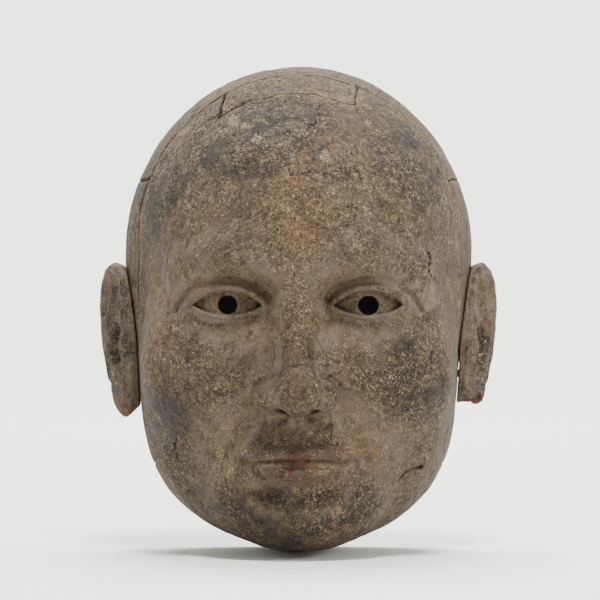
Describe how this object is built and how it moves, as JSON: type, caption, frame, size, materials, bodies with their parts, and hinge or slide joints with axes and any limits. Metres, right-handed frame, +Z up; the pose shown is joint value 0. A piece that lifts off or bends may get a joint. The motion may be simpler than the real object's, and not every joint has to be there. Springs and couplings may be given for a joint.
{
  "type": "noh mask",
  "caption": "Aged wooden stage mask of a calm bald head with ears, hollow behind, carved from joined blocks with dowels and cloth over the seams inside.",
  "frame": {"origin": "on the rear rim plane, on the midline, at the height of the eyes", "axes": "+Z up towards the crown, -Y the way the face looks, +X to the right of someone looking at the face"},
  "size_m": [0.2, 0.133, 0.2406],
  "materials": {
    "carved_wood": "worn dark lacquer over a pale ground, dusty, half gloss on the high points",
    "insert_wood": "worn lacquer with an open crack round its edge",
    "ear_wood": "worn lacquer, bare wood at the broken lobe",
    "dowel": "bare split bamboo",
    "seam_cloth": "hemp cloth set in dark lacquer"
  },
  "bodies": {
    "root": {"face_block": "carved_wood", "forehead_insert": "insert_wood", "crown_block": "carved_wood", "side_block_left": "carved_wood", "side_block_right": "carved_wood", "ear_left": "ear_wood", "ear_right": "ear_wood", "crown_pin_1": "dowel", "crown_pin_2": "dowel", "crown_pin_3": "dowel", "crown_pin_4": "dowel", "crown_side_pin_left": "dowel", "side_pin_left_1": "dowel", "ear_pin_left_1": "dowel", "side_pin_left_2": "dowel", "ear_pin_left_2": "dowel", "crown_side_pin_right": "dowel", "side_pin_right_1": "dowel", "ear_pin_right_1": "dowel", "side_pin_right_2": "dowel", "ear_pin_right_2": "dowel", "crown_seam_cloth": "seam_cloth", "side_seam_cloth_left": "seam_cloth", "side_seam_cloth_right": "seam_cloth"}
  },
  "joints": []
}
